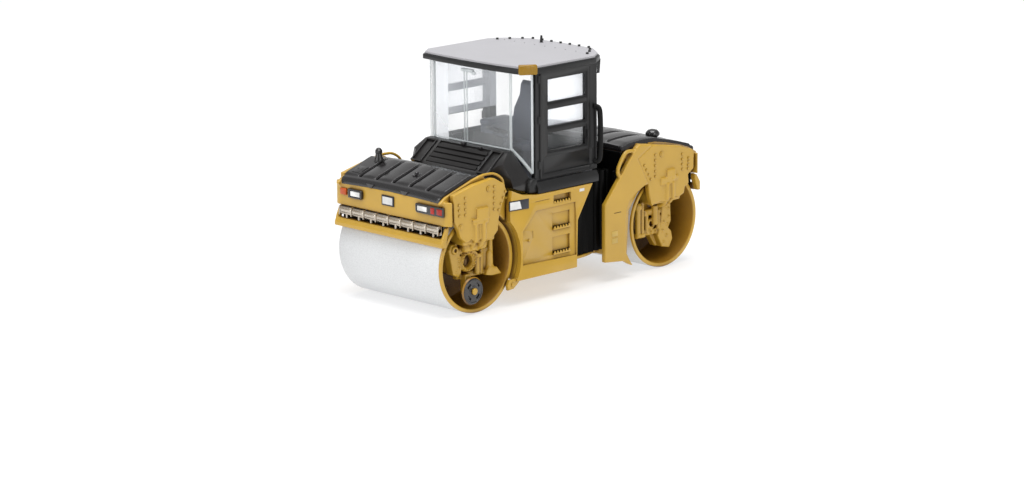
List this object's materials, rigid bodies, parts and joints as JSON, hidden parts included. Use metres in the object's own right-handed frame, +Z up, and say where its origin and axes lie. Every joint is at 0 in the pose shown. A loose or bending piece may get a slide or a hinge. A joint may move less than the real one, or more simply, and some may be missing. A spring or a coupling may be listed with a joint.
{
  "type": "toy road roller",
  "caption": "Small die-cast toy tandem road roller with turning drums, a pivoting rear frame, a glazed cab and an edge cutting disc.",
  "frame": {"origin": "on the ground under the middle of the toy's overall box", "axes": "+X to the front of the machine, +Y to its left, +Z up"},
  "size_m": [0.0758, 0.0344, 0.0497],
  "materials": {
    "yellow_paint": "golden yellow satin enamel over die-cast metal",
    "black_moulding": "satin black moulding",
    "cab_black": "satin charcoal black",
    "cab_grey": "matt grey",
    "clear_glazing": "clear polished plastic",
    "roof_grey": "light grey satin",
    "amber_lens": "amber gloss",
    "white_lens": "white gloss paint",
    "red_lens": "red gloss",
    "silver_paint": "silver paint",
    "steel": "bright turned pin",
    "drum_paint": "fine speckled silver white paint"
  },
  "bodies": {
    "front_frame": {"front_body": "yellow_paint", "front_hood": "black_moulding", "front_cap": "black_moulding", "cowl": "black_moulding", "cowl_grille": "black_moulding", "chassis": "yellow_paint", "side_panel_left": "yellow_paint", "side_panel_right": "yellow_paint", "sill_left": "cab_black", "sill_right": "cab_black", "door_left": "cab_black", "door_right": "cab_black", "door_glass_left": "clear_glazing", "door_glass_right": "clear_glazing", "corner_glass_left": "clear_glazing", "corner_glass_right": "clear_glazing", "rear_corner_glass_left": "clear_glazing", "rear_corner_glass_right": "clear_glazing", "lamp_housing_left": "black_moulding", "lamp_housing_right": "black_moulding", "headlamp_left": "white_lens", "headlamp_right": "white_lens", "front_arm_left": "yellow_paint", "front_arm_right": "yellow_paint", "cab_floor": "cab_black", "cab_rear_shelf": "cab_black", "windscreen": "clear_glazing", "rear_glass": "clear_glazing", "roof_frame": "cab_black", "roof_skin": "roof_grey", "beacon": "amber_lens", "seat": "cab_grey", "console": "cab_grey", "steering_column": "cab_black", "steering_wheel": "cab_black", "front_bumper": "yellow_paint", "front_spray_bar": "silver_paint", "hitch_pin": "steel", "grab_bar": "cab_black", "front_axle": "steel"},
    "rear_frame": {"rear_body": "yellow_paint", "rear_hood": "black_moulding", "rear_cap": "black_moulding", "bellows": "black_moulding", "rear_bulkhead": "black_moulding", "rear_plate_left": "yellow_paint", "rear_plate_right": "yellow_paint", "rear_arm_left": "yellow_paint", "rear_arm_right": "yellow_paint", "rear_lamp_left": "red_lens", "rear_lamp_right": "red_lens", "rear_bumper": "yellow_paint", "rear_spray_bar": "silver_paint", "rear_axle": "steel"},
    "front_drum": {"front_drum_skin": "drum_paint", "front_drum_core": "yellow_paint"},
    "rear_drum": {"rear_drum_skin": "drum_paint", "rear_drum_core": "yellow_paint"},
    "edge_disc": {"edge_disc": "black_moulding"}
  },
  "joints": [
    {"name": "steering_hitch", "type": "hinge", "parent": "front_frame", "child": "rear_frame", "pos_m": [-0.0047, 0, 0.012], "axis": [0, 0, 1], "range_deg": [-18, 18]},
    {"name": "front_drum_roll", "type": "hinge", "parent": "front_frame", "child": "front_drum", "pos_m": [0.02735, 0, 0.01016], "axis": [0, 1, 0], "continuous": true},
    {"name": "rear_drum_roll", "type": "hinge", "parent": "rear_frame", "child": "rear_drum", "pos_m": [-0.02775, 0, 0.01016], "axis": [0, 1, 0], "continuous": true},
    {"name": "edge_disc_spin", "type": "hinge", "parent": "front_frame", "child": "edge_disc", "pos_m": [0.029, 0.0156, 0.00485], "axis": [0, 1, 0], "continuous": true}
  ]
}
